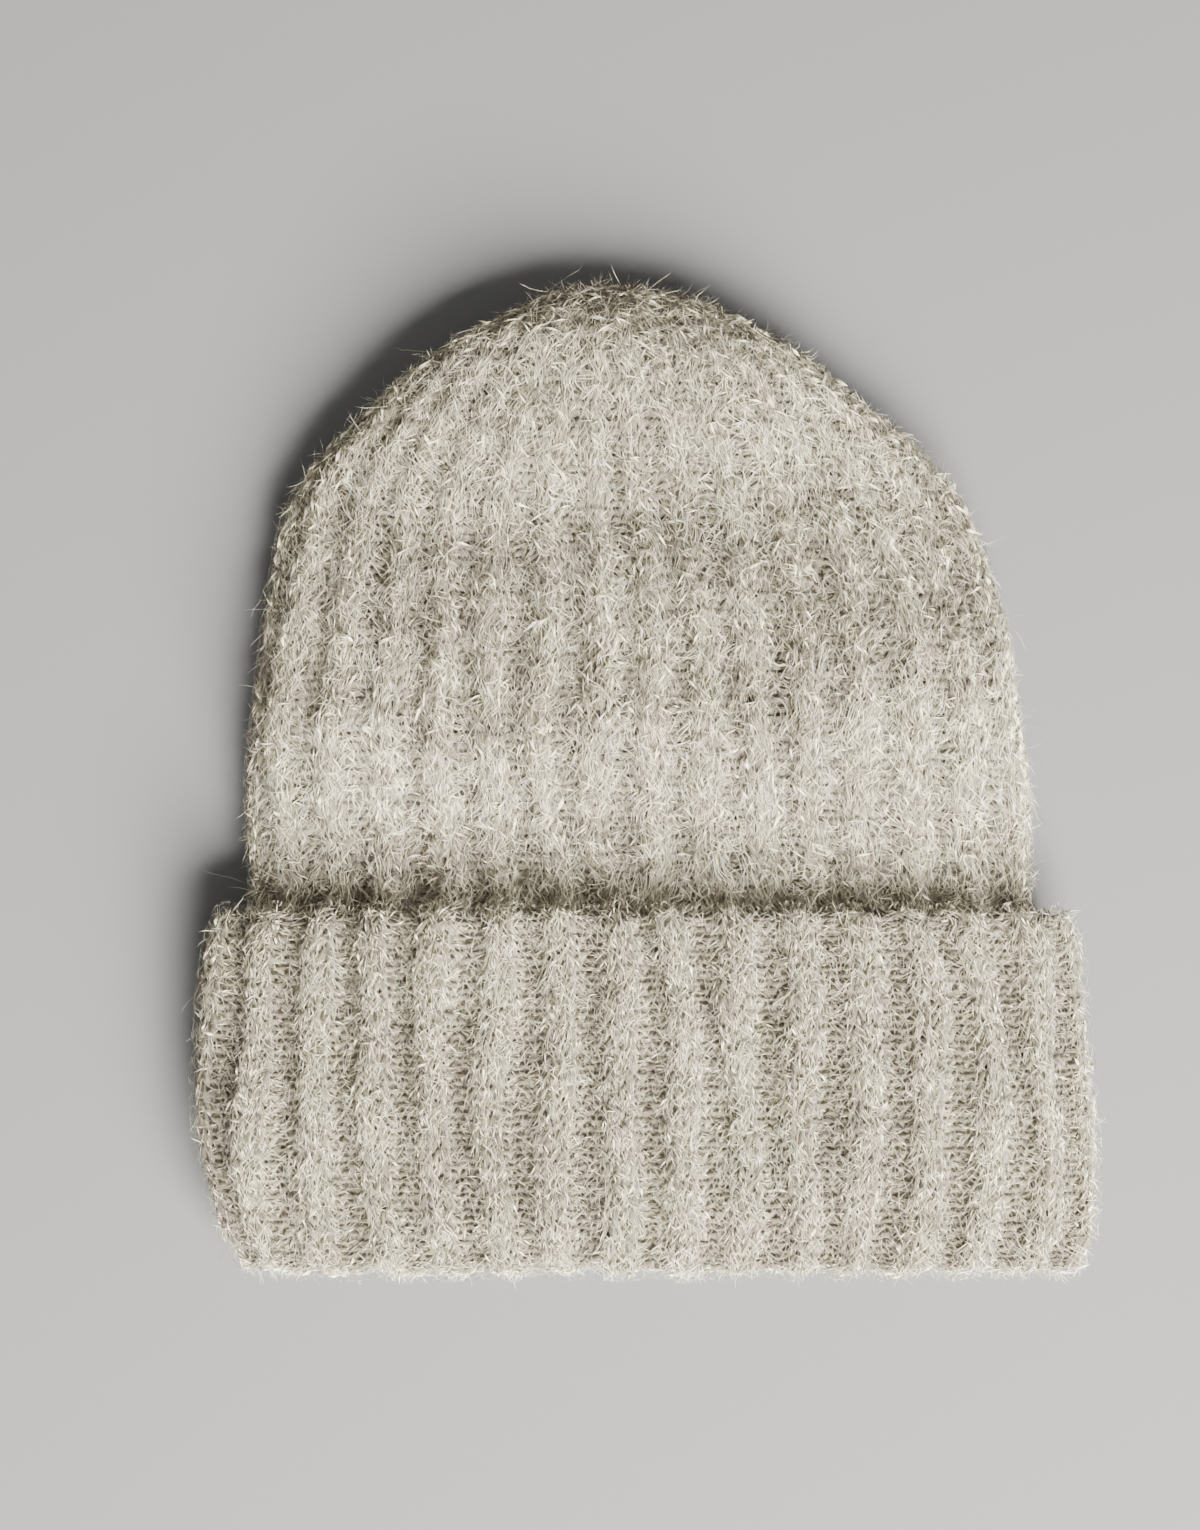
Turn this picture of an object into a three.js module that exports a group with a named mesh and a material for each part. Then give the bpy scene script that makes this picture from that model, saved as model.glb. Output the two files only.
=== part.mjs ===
// A ribbed knit cap with a turned-up cuff, lying flat.
// Millimetres, +Z up. +Y runs from the folded lower edge to the tip of the crown, and +X to the right of that.
// The fabric is a hollow tube: one wall below, one wall above, and the space for the head between them.
// The cuff is the lower end of the same tube, turned outwards and up over the crown's wall.
import * as THREE from "three";

// Driving dimensions of the fabric
const RIBS = 31; // ribs round the cap, two knit and two purl stitches each
const WALL = 3.8; // thickness of one layer, from the mean of its ribbed face
const RELIEF = 0.9; // how far a rib stands above that mean, and its furrow below
const LAYER_GAP = 1.0; // air between the cuff and the crown inside it
const SEAM_GAP = 0.4; // between the crown's lower rim and the cuff's turned-in end
const HEM = 8.0; // how far the turned-in end reaches up from the fold

// How the cap lies
const CROWN_RIB_SHIFT = 0.28; // of a rib: a rib's distance from the middle of the crown's upper side
const CUFF_RIB_SHIFT = 0.42; // and from the middle of the cuff's, which is turned a little on the crown
const WIDEST_AT = 0.45; // height of the widest place, as a share of the section's thickness
const ROUNDNESS_ABOVE = 3.0; // exponent of the section's upper half: 2 is an ellipse, more is squarer
const ROUNDNESS_BELOW = 4.5; // and of its lower half, which the floor flattens
const PRESSED = 0.35; // how far the floor presses the lowest stretch of a section flat
const PRESSED_RIBS = 4.0; // height above the lowest level over which the ribs come back
const FULL_RELIEF_GIRTH = 300; // a section shorter round than this has shallower ribs

const COLUMNS = 2 * RIBS; // one column of vertices on each rib and one in each furrow
const GIRTH_STEPS = 720; // samples for measuring a section's girth
const CUFF_RINGS = 8; // rings of vertices over each table's rows
const CROWN_RINGS = 21;
const LINING_RINGS = 14; // and over the crown's inner face
const CRUSHED = LAYER_GAP + WALL; // inset of the crown's outer face under the cuff
const INNER = CRUSHED + WALL; // inset of its inner face there
const FOLD = INNER / 2; // radius of the fold's outer face
const FOLD_TURNS = [45, 90, 135, 180]; // degrees round the fold, a ring at each
const EDGE_CROWN = 1.3; // how far the cuff's free edge is rounded out
const EDGE_RIBS = 0.5; // share of the ribs' relief that shows there

// The cuff's outer face: a row for each section, from the fold to the cuff's free edge.
const CUFF_SECTIONS = [
  { y: 4.3, left: -100.5, right: 109.6, bottom: 0, top: 28.2 },
  { y: 14, left: -105.6, right: 111.6, bottom: 0, top: 29.6 },
  { y: 32, left: -109.6, right: 111.6, bottom: 0, top: 30.0 },
  { y: 52, left: -110.2, right: 110.2, bottom: 0, top: 29.8 },
  { y: 72, left: -109.2, right: 107.8, bottom: 0, top: 29.5 },
  { y: 84, left: -107.0, right: 106.6, bottom: 0, top: 29.0 },
  { y: 90.6, left: -104.4, right: 105.4, bottom: 0, top: 28.4 },
];

// The crown's outer face above the cuff, up to the gathered tip. bottom is its height above the floor.
const CROWN_SECTIONS = [
  { y: 91.5, left: -97.9, right: 97.2, bottom: 4.8, top: 22.4 },
  { y: 102, left: -98.4, right: 96.2, bottom: 1.2, top: 23.4 },
  { y: 117, left: -98.1, right: 95.0, bottom: 0, top: 26.0 },
  { y: 134, left: -97.0, right: 93.2, bottom: 0, top: 27.0 },
  { y: 152, left: -95.2, right: 90.6, bottom: 0, top: 26.2 },
  { y: 168, left: -92.8, right: 86.6, bottom: 0, top: 23.8 },
  { y: 182, left: -90.0, right: 81.6, bottom: 0, top: 22.6 },
  { y: 194, left: -85.0, right: 75.6, bottom: 0, top: 22.0 },
  { y: 205, left: -76.8, right: 66.6, bottom: 0, top: 22.4 },
  { y: 215, left: -67.2, right: 54.6, bottom: 0, top: 23.2 },
  { y: 224, left: -57.0, right: 43.2, bottom: 0, top: 23.6 },
  { y: 232, left: -45.6, right: 32.0, bottom: 0, top: 22.6 },
  { y: 238.5, left: -34.0, right: 21.0, bottom: 0.7, top: 19.6 },
  { y: 243, left: -24.6, right: 9.5, bottom: 2.8, top: 15.6 },
];
const TIP = new THREE.Vector3(-9, 245.8, 8.6); // where the crown is gathered shut
const INNER_TIP = new THREE.Vector3(-9, 241.2, 9.2);

// Shallow dents in the upper side of the crown: centre, reach each way and depth.
const DENTS = [
  { x: 2, y: 186, wide: 42, long: 13, deep: 3.2 },
  { x: -52, y: 203, wide: 9, long: 9, deep: 1.6 },
  { x: 40, y: 201, wide: 30, long: 9, deep: 1.2 },
];

// A power that keeps its base's sign, for the superellipse.
function signedPower(value, exponent) {
  return Math.sign(value) * Math.abs(value) ** exponent;
}

// The section as a closed line of GIRTH_STEPS points in x and z, from the middle of the upper side round by +X.
function sectionLine(section, inset) {
  const middle = (section.left + section.right) / 2;
  const halfWidth = (section.right - section.left) / 2 - inset;
  const lowest = section.bottom + inset - PRESSED;
  const highest = section.top - inset;
  const widestZ = lowest + WIDEST_AT * (highest - lowest);
  const line = [];
  for (let step = 0; step < GIRTH_STEPS; step++) {
    const angle = (2 * Math.PI * step) / GIRTH_STEPS;
    const above = Math.cos(angle) >= 0;
    const exponent = 2 / (above ? ROUNDNESS_ABOVE : ROUNDNESS_BELOW);
    const reach = above ? highest - widestZ : widestZ - lowest;
    line.push({
      x: middle + halfWidth * signedPower(Math.sin(angle), exponent),
      z: widestZ + reach * signedPower(Math.cos(angle), exponent),
    });
  }
  return line;
}

// COLUMNS points spaced evenly round that line, the first one ribShift ribs along, and the line's girth.
function evenColumns(line, ribShift) {
  const along = [0];
  for (let step = 1; step <= line.length; step++) {
    const from = line[step - 1];
    const to = line[step % line.length];
    along.push(along[step - 1] + Math.hypot(to.x - from.x, to.z - from.z));
  }
  const girth = along[line.length];
  const columns = [];
  let step = 0;
  for (let column = 0; column < COLUMNS; column++) {
    const wanted = (girth * (column + 2 * ribShift)) / COLUMNS;
    while (along[step + 1] < wanted) step++;
    const share = (wanted - along[step]) / (along[step + 1] - along[step]);
    const from = line[step];
    const to = line[(step + 1) % line.length];
    columns.push({
      x: from.x + share * (to.x - from.x),
      z: from.z + share * (to.z - from.z),
    });
  }
  return { columns, girth };
}

// How far the dents lower a point of the upper side.
function dentDepth(x, y, shareAbove) {
  let depth = 0;
  for (const dent of DENTS) {
    const across = (x - dent.x) / dent.wide;
    const along = (y - dent.y) / dent.long;
    depth += dent.deep * Math.exp(-across * across - along * along);
  }
  return depth * Math.max(0, shareAbove);
}

// One ring of vertices round the fabric: a section set in by inset. The ribs stand out by the share upright of
// RELIEF, away from the section's middle, and by the share forward of it towards the head opening.
function ring(section, y, inset, ribShift, upright, forward = 0) {
  const { columns, girth } = evenColumns(sectionLine(section, inset), ribShift);
  const lowest = section.bottom + inset;
  const height = section.top - section.bottom - 2 * inset;
  const relief = RELIEF * Math.min(1, girth / FULL_RELIEF_GIRTH);
  return columns.map((point, column) => {
    const before = columns[(column + COLUMNS - 1) % COLUMNS];
    const after = columns[(column + 1) % COLUMNS];
    const outward = new THREE.Vector2(before.z - after.z, after.x - before.x);
    outward.normalize();
    const pressed = THREE.MathUtils.clamp(
      (point.z - lowest) / PRESSED_RIBS,
      0,
      1,
    );
    const shift = (column % 2 === 0 ? relief : -relief) * pressed;
    const above = (2 * (point.z - lowest)) / height - 1;
    const x = point.x + shift * upright * outward.x;
    const z = point.z + shift * upright * outward.y;
    const dented = z - dentDepth(point.x, y, above);
    return new THREE.Vector3(x, y - shift * forward, Math.max(dented, lowest));
  });
}

// A smooth curve through one column of a table, against y.
function columnCurve(rows, name) {
  return new THREE.SplineCurve(
    rows.map((row) => new THREE.Vector2(row[name], row.y)),
  );
}

// count sections through the rows of a table, the first and the last row included.
function sectionsThrough(rows, count) {
  const left = columnCurve(rows, "left");
  const right = columnCurve(rows, "right");
  const bottom = columnCurve(rows, "bottom");
  const top = columnCurve(rows, "top");
  const sections = [];
  for (let index = 0; index < count; index++) {
    const share = index / (count - 1);
    const { x: leftX, y } = left.getPoint(share);
    sections.push({
      y,
      left: leftX,
      right: right.getPoint(share).x,
      bottom: Math.max(0, bottom.getPoint(share).x),
      top: top.getPoint(share).x,
    });
  }
  return sections;
}

const CUFF = sectionsThrough(CUFF_SECTIONS, CUFF_RINGS);

// The cuff's section at any height, straight between its rings.
function cuffSection(y) {
  const above = CUFF.findIndex((section) => section.y > y);
  if (above < 1) return above === 0 ? CUFF[0] : CUFF.at(-1);
  const low = CUFF[above - 1];
  const high = CUFF[above];
  const share = (y - low.y) / (high.y - low.y);
  const between = (name) => THREE.MathUtils.lerp(low[name], high[name], share);
  return {
    left: between("left"),
    right: between("right"),
    bottom: between("bottom"),
    top: between("top"),
  };
}

// A closed skin through the rings. With tips it is capped by a point at each end, otherwise it closes on itself.
function skin(rings, tips) {
  const positions = [];
  const faces = [];
  for (const points of rings)
    for (const point of points) positions.push(point.x, point.y, point.z);
  const vertex = (row, column) =>
    (row % rings.length) * COLUMNS + (column % COLUMNS);
  const bands = tips ? rings.length - 1 : rings.length;
  for (let row = 0; row < bands; row++)
    for (let column = 0; column < COLUMNS; column++) {
      const a = vertex(row, column);
      const b = vertex(row, column + 1);
      const c = vertex(row + 1, column + 1);
      const d = vertex(row + 1, column);
      faces.push(a, c, b, a, d, c);
    }
  if (tips) {
    const first = positions.length / 3;
    positions.push(tips.first.x, tips.first.y, tips.first.z);
    positions.push(tips.last.x, tips.last.y, tips.last.z);
    for (let column = 0; column < COLUMNS; column++) {
      faces.push(first, vertex(0, column), vertex(0, column + 1));
      const end = rings.length - 1;
      faces.push(first + 1, vertex(end, column + 1), vertex(end, column));
    }
  }
  const geometry = new THREE.BufferGeometry();
  geometry.setAttribute(
    "position",
    new THREE.Float32BufferAttribute(positions, 3),
  );
  geometry.setIndex(faces);
  geometry.computeVertexNormals();
  return geometry;
}

// The crown: the outer face from the tip down to the hem, then the inner face back up to the inner tip.
function crownGeometry() {
  const rimY = HEM + SEAM_GAP;
  const under = CUFF.map((section) => section.y).filter(
    (y) => y > rimY && y < CROWN_SECTIONS[0].y - 2,
  );
  const covered = [rimY, ...under];
  const free = sectionsThrough(CROWN_SECTIONS, CROWN_RINGS);
  const lined = sectionsThrough(CROWN_SECTIONS, LINING_RINGS).slice(0, -1);
  const freeRing = (section, inset) =>
    ring(section, section.y, inset, CROWN_RIB_SHIFT, 1);
  const coveredRing = (y, inset, upright) =>
    ring(cuffSection(y), y, inset, CROWN_RIB_SHIFT, upright);
  const rings = [
    ...free.toReversed().map((section) => freeRing(section, 0)),
    ...covered.toReversed().map((y) => coveredRing(y, CRUSHED, 0)),
    ...covered.map((y) => coveredRing(y, INNER, 1)),
    ...lined.map((section) => freeRing(section, WALL)),
  ];
  return skin(rings, { first: TIP, last: INNER_TIP });
}

// The cuff: its outer face down to the fold, round the fold, the turned-in end, and its inner face back up.
function cuffGeometry() {
  const edge = CUFF.at(-1);
  const crease = LAYER_GAP / 2;
  const plain = (section, y, inset) =>
    ring(section, y, inset, CUFF_RIB_SHIFT, 0);
  const rings = CUFF.toReversed().map((section) =>
    ring(section, section.y, 0, CUFF_RIB_SHIFT, 1),
  );
  for (const turn of FOLD_TURNS) {
    const angle = THREE.MathUtils.degToRad(turn);
    const upright = Math.cos(angle);
    const forward = Math.sin(angle);
    const y = FOLD * (1 - forward);
    const inset = FOLD * (1 - upright);
    const section = cuffSection(y);
    rings.push(ring(section, y, inset, CUFF_RIB_SHIFT, upright, forward));
  }
  rings.push(ring(cuffSection(HEM), HEM, INNER, CUFF_RIB_SHIFT, -1));
  rings.push(plain(cuffSection(HEM), HEM, CRUSHED));
  rings.push(plain(cuffSection(FOLD), FOLD, CRUSHED));
  rings.push(plain(cuffSection(FOLD - crease), FOLD - crease, FOLD));
  for (const section of CUFF) rings.push(plain(section, section.y, WALL));
  rings.push(
    ring(edge, edge.y + EDGE_CROWN, WALL / 2, CUFF_RIB_SHIFT, EDGE_RIBS),
  );
  return skin(rings, null);
}

const knit = (name, colour) =>
  new THREE.MeshStandardMaterial({
    name,
    color: colour,
    roughness: 0.95,
    metalness: 0,
  });

const crown = new THREE.Mesh(crownGeometry(), knit("crown_knit", 0xb8b1a0));
crown.name = "crown";

const cuff = new THREE.Mesh(cuffGeometry(), knit("cuff_knit", 0xbfb8a7));
cuff.name = "cuff";

// The origin is the middle of the cap's footprint, on the surface that it lies on.
const cap = new THREE.Group();
cap.add(crown, cuff);
const box = new THREE.Box3().setFromObject(cap);
cap.position.set(
  -(box.min.x + box.max.x) / 2,
  -(box.min.y + box.max.y) / 2,
  -box.min.z,
);

export default cap;
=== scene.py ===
import math
from collections import namedtuple

import bpy
import numpy as np
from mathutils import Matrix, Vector


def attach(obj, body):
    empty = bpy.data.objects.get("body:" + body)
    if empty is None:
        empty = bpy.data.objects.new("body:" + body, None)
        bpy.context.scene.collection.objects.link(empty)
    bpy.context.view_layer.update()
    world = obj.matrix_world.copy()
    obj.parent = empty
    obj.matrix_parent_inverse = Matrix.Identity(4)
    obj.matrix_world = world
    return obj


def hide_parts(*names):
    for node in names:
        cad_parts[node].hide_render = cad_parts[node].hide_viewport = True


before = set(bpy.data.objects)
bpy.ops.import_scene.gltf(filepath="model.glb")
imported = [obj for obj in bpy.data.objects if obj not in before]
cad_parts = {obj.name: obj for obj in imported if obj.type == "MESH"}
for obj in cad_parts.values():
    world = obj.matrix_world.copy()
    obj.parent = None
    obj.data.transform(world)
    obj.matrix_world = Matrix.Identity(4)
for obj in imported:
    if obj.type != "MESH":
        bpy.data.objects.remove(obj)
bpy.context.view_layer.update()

MM = 0.001
TURN = 2 * math.pi
TABLE_TO_FRAME = np.array([-0.4063, -122.45, 0.0])  # from the tables' place to the frame's

# Driving dimensions of the fabric
RIBS = 31
WALL = 3.8  # thickness of one layer
LAYER_GAP = 1.0  # air between the cuff and the crown inside it
CRUSHED = LAYER_GAP + WALL  # inset of the crown's outer face under the cuff
INNER = CRUSHED + WALL  # inset of its inner face there
FOLD = INNER / 2  # radius of the cuff's fold
HEM = 8.0  # how far the turned-in end reaches up from the fold
RIM = 8.4  # the crown's lower rim
RIB_RELIEF = 1.6  # how far a rib stands above the mean face, and its furrow below
RIB_SQUARENESS = 1.7  # more gives flatter ridges and steeper flanks
YARN_RADIUS = 0.95
YARN_SINK = 1.7  # from the outer face down to the middle of the yarn
FABRIC_SINK = 2.2  # and down to the fabric beneath the loops
EDGE_REACH = 1.3  # how far the cuff's free edge is rounded out
SIDE_TUCK = 0.6  # how far the sides are drawn in, as room for the hair on them
VEIL_LIFTS = (1.4, 0.1)  # heights of the veil's outer and inner face above the outer face of the fabric
TIP_REACH = 0.003  # how far the map of the cloth runs on from the last ring to a tip, in metres

# How the cap lies
CROWN_RIB_SHIFT = 0.28  # of a rib: a rib's distance from the middle of the crown's upper side
CUFF_RIB_SHIFT = 0.42
STEADY_X = 0.8  # the ribs of the cuff run straight up from the fold, beside this line
STEADY_BELOW = 90.0  # and the crown's do so up to here
LOOSE_ABOVE = 140.0  # from here on they keep to the middle of the crown
WIDEST_AT = 0.45  # height of the widest place, as a share of the section's thickness
ROUNDNESS_ABOVE = 3.0  # exponent of the section's upper half: 2 is an ellipse, more is squarer
ROUNDNESS_BELOW = 4.5
PRESSED = 0.35  # how far the floor presses the lowest stretch of a section flat
PRESSED_RIBS = 4.0  # height over which the ribs come back
FULL_RELIEF_GIRTH = 300.0  # a section shorter round than this has shallower ribs

# How finely the fabric is drawn
GIRTH_STEPS = 720
CUFF_STEPS = 300
CROWN_STEPS = 500
COVERED_STEPS = 60
EDGE_STEPS = 10
FOLD_STEPS = 19
HEM_STEPS = 5
FABRIC_COLUMNS = 4 * RIBS  # columns of vertices round the fabric
RING_SPACING = 3.4  # between its rings
GRID_COLUMNS = 12 * RIBS  # and round the grid that the loops are laid on
GRID_SPACING = 1.2

# The cuff's outer face, a row for each section: y, left, right, bottom, top
CUFF_ROWS = np.array([
    [4.3, -100.5, 108.8, 0, 28.2],
    [14, -105.6, 110.6, 0, 29.6],
    [32, -109.6, 110.8, 0, 30.0],
    [52, -110.6, 109.6, 0, 29.8],
    [72, -110.2, 107.8, 0, 29.5],
    [82, -108.5, 106.8, 0, 29.0],
    [87.4, -106.4, 105.6, 0, 28.2],
])

# The crown's outer face above the cuff, up to the gathered tip
CROWN_ROWS = np.array([
    [89, -98.2, 97.4, 5.2, 22.4],
    [95, -98.6, 97.4, 3.0, 19.2],
    [104, -99.0, 97.2, 1.2, 18.4],
    [112, -99.0, 97.0, 0.4, 19.8],
    [122, -98.6, 96.2, 0, 23.4],
    [134, -98.0, 94.8, 0, 26.8],
    [152, -96.2, 92.4, 0, 26.2],
    [168, -94.6, 89.2, 0, 23.8],
    [182, -92.2, 84.8, 0, 22.2],
    [194, -88.0, 78.8, 0, 21.6],
    [205, -79.6, 69.0, 0, 22.4],
    [215, -69.8, 56.6, 0, 23.2],
    [224, -60.0, 46.2, 0, 23.6],
    [232, -48.6, 34.0, 0, 22.6],
    [238.5, -36.4, 22.4, 0.7, 19.6],
    [243, -27.0, 10.5, 2.8, 15.6],
])
TIP_ROW = np.array([[245.4, -14.0, -4.0, 6.6, 10.8]])
TIPS = [[-9.0, 245.8, 8.6], [-9.0, 241.2, 9.2]]  # of the crown's outer and inner face
LINING_END = 237.0  # the crown's inner face has rings up to here
UNDER_EDGE = 82.0  # the crown's loops and hair begin here, under the cuff's edge

# Heights, and the share of the ribs' relief that shows at each of them
CROWN_RELIEF = ([82, 100, 118, 170, 200, 225, 246], [0.15, 0.3, 0.8, 0.5, 0.3, 0.15, 0.1])
UNCOVERED = ([UNDER_EDGE, 92], [0, 1])  # the crown lies flat under the cuff
CUFF_RELIEF = ([0, 8, 80, 88, 91], [0.35, 0.95, 1.0, 0.6, 0.35])

# Shallow dents in the upper side of the crown: x, y, width, length and depth
DENTS = [(2, 186, 42, 13, 3.2), (-52, 203, 9, 9, 1.6), (40, 201, 30, 9, 1.2)]

# Waves by which the ribs wander: how far in ribs, then the length of a radian, turns round the cap, and phase
SWAYS = [(0.10, 31, 0, 0.6), (0.05, 13, 0, 2.1), (0.07, 19, 6, 0), (0.05, 9, 13, 1.7)]

# Lumps of the fabric: how high, and the two waves that cross in them
SWELLS = [(0.35, (15, 3, 0.4), (11, -5, 0)), (0.25, (5.5, 15, 0), (7, -10, 2.0))]

# The strands of one rib by one row, each a start, a middle and an end. x is in ribs from the middle of the
# ridge, y in rows in the direction of knitting, and z in yarn radii out of the fabric.
KNIT_LEGS = [
    (
        (column + side * 0.012, -0.10, -0.45),
        (column + side * 0.085, 0.50, 0.95),
        (column + side * 0.112, 1.20, -0.6),
    )
    for column in (-0.125, 0.125)
    for side in (-1, 1)
]
PURL_TOPS = [
    ((column - 0.12, 0.12, -0.5), (column, 0.50, 0.9), (column + 0.12, 0.12, -0.5))
    for column in (0.375, 0.625)
]
PURL_FEET = [
    ((column - 0.11, 0.90, -0.5), (column, 0.50, 0.8), (column + 0.11, 0.90, -0.5))
    for column in (0.27, 0.5, 0.73)
]
STRAND_END = 0.6  # thickness of a strand at its ends, as a share of the yarn's
STRAND_BELLY = 0.45  # and how much thicker it is halfway
MAP_EDGE = 1e-5  # how near to its edge the map of the grid is read

# Places on the fabric, by how far its face points up: -1 below, 0 at the sides and 1 on top
FLOOR_TO_SIDES = (-0.9, -0.3)
SIDES_TO_TOP = (0.35, 0.8)
FINE_TO_FULL_WIDTH = (0.1, 0.8)

# How the brushed hair varies. The fineness of each pattern is in waves to the metre.
OUTER_FACES = 0.1  # hair grows only on faces of the yarn that look out of the fabric by this much or more
TUFT_FINENESS = 240.0
TUFT_RANGE = (-0.14, 0.14, 0.25, 1.75)  # from the thinnest and thickest places to the shares of hair there
SWIRL_FINENESS = 130.0
CURL_FINENESS = 160.0
YARN_FINENESS = 190.0  # of the unevenness of the loops
LEAF_START = np.array([0.5, 0.1, 0])  # where a hair's root is in its cell of the map
LEAF_SIZE = np.array([0.7, 0.8, 0])  # and how wide and long it is there
ROLL = 0.7  # how far a hair may roll about its length, in radians
FEW_LONG = 1.6  # more gives fewer long hairs
WIDTH_RANGE = (0.6, 1.4)
ARCH_RANGE = (0.2, 1.0)
TONE_RANGE = (0.3, 0.8, 0.0, 1.0)  # from a random number to a hair's tone, deep to pale

# Colours of the undyed wool
YARN_DEEP = (0.075, 0.064, 0.048, 1)
YARN_PALE = (0.27, 0.238, 0.175, 1)
FABRIC_DEEP = (0.10, 0.087, 0.067, 1)
FABRIC_PALE = (0.48, 0.435, 0.34, 1)
HAIR_DEEP = (0.18, 0.153, 0.11, 1)
HAIR_PALE = (1.0, 0.94, 0.73, 1)
VEIL_DEEP = (0.24, 0.207, 0.15, 1)
ROSY_TINT = (1.0, 0.965, 0.96, 1)
STRAW_TINT = (0.985, 1.0, 0.93, 1)
FLOOR_GREY = (0.175, 0.176, 0.179, 1)

# Patterns of the wool. Their fineness is in waves to the metre, and a tone goes from 0, deep, to 1, pale.
# A range has two numbers read from a pattern, and then what is made of each.
MELANGE_LAYERS = [(35.0, 1.0, 0.5), (180.0, 1.0, 0.6), (1100.0, 0.0, 0.6)]  # fineness, detail and strength
TINT_FINENESS = 60.0
TINT_RANGE = (0.35, 0.65, 0.0, 1.0)
STREAKS_ROUND = 9.0  # waves round a strand of yarn
STREAKS_ALONG = 260.0  # and along it
STREAKS_APART = (300, 300, 300)  # how fast the streaks change from strand to strand
STREAK_TONES = 1.4
DEPTH_SHADE_RANGE = (-1.0, 1.0, 0.0, 0.65)  # from the depth of the yarn, in its radii, to its tone: painted shade, darker down in the gaps
YARN_RIDGE_LIGHT_AND_SHADE = 0.2  # how much paler the yarn is painted on a ridge than in a furrow: painted light and shade
STITCH_WIDTH = 3.8 * MM  # of the stitches drawn inside the mouth
STITCH_HEIGHT = 3.7 * MM
STITCH_TONES = (0.7, 0.1)  # how much their tone varies, and the deepest

# The hairs drawn on the veils
STROKE_TURNS = (-1.0, 0.1, 1.0)  # of their layers, in shares of the scatter
LAYER_STEP = Vector((0.37, 0.21, 0.0))  # by which each layer is moved aside
STROKE_TILT = 0.5
STROKE_BEND = 1.2
STROKE_SOFTNESS = 0.6  # of a hair's width, over which its side fades
VEIL_SWIRL_FINENESS = 75.0
CLOUD_FINENESS = 38.0
CLOUD_TONES = 1.3
VEIL_TUFT_FINENESS = 230.0
VEIL_TUFT_RANGE = (0.32, 0.62, 0.4, 1.0)
FAINTEST = 0.4  # how solid the deepest hairs are beside the palest

# A line of stations along the fabric. Each has a section row, an inset from it, and the direction of the
# fabric's face there: away from the section's middle by the share upright, and towards the head opening by
# the share forward.
Path = namedtuple("Path", "rows inset upright forward")


def smooth(rows, count):
    """This many rows, on a smooth curve through the rows of a table."""
    place = np.linspace(0, 1, count) * (len(rows) - 1)
    whole = np.minimum(place.astype(int), len(rows) - 2)
    part = (place - whole)[:, None]
    before = rows[np.maximum(whole - 1, 0)]
    here = rows[whole]
    after = rows[whole + 1]
    beyond = rows[np.minimum(whole + 2, len(rows) - 1)]
    slope_here = (after - before) / 2
    slope_after = (beyond - here) / 2
    cubic = 2 * here - 2 * after + slope_here + slope_after
    square = -3 * here + 3 * after - 2 * slope_here - slope_after
    made = ((cubic * part + square) * part + slope_here) * part + here
    made[:, 3] = np.maximum(made[:, 3], 0)
    return made


def rows_at(table, y):
    """Sections of a dense table at heights y, each with its own y."""
    columns = [np.interp(y, table[:, 0], table[:, column]) for column in range(1, 5)]
    return np.column_stack([y, *columns])


def plain_path(rows, inset=0.0, upright=1.0):
    count = len(rows)
    return Path(rows, np.full(count, inset), np.full(count, upright), np.zeros(count))


def turned_path(table, start_y, radius, reach, degrees, side):
    """A turn of the fabric round its free edge, side 1, or its fold, side -1."""
    angles = np.radians(degrees)
    rows = rows_at(table, start_y + side * reach * np.sin(angles))
    return Path(rows, radius * (1 - np.cos(angles)), np.cos(angles), -side * np.sin(angles))


def join_paths(*paths):
    return Path(*(np.concatenate(parts) for parts in zip(*paths)))


def spaced(path, spacing):
    """The same path with its stations evenly spaced, as measured along the middle of the upper side."""
    level = path.rows[:, 4] - path.inset
    steps = np.hypot(np.diff(path.rows[:, 0]), np.diff(level))
    along = np.concatenate([[0], np.cumsum(steps)])
    wanted = np.linspace(0, along[-1], round(along[-1] / spacing) + 1)
    rows = [np.interp(wanted, along, path.rows[:, column]) for column in range(5)]
    rest = [np.interp(wanted, along, values) for values in path[1:]]
    return Path(np.column_stack(rows), *rest)


def wave(y, shares, length, turns, phase):
    return np.sin(y / length + turns * TURN * shares + phase)


def sway(y, shares):
    """How far the ribs wander sideways, in ribs."""
    return sum(far * wave(y, shares, *shape) for far, *shape in SWAYS)


def swell(y, shares):
    """How far the fabric rises and falls in soft lumps."""
    return sum(high * wave(y, shares, *one) * wave(y, shares, *other) for high, one, other in SWELLS)


def dent_depth(x, y, share_above):
    depth = np.zeros_like(x)
    for centre_x, centre_y, wide, long, deep in DENTS:
        depth += deep * np.exp(-(((x - centre_x) / wide) ** 2) - ((y - centre_y) / long) ** 2)
    return depth * np.maximum(0, share_above)


def relief_at(path, relief):
    return np.interp(path.rows[:, 0], *relief)


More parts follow.
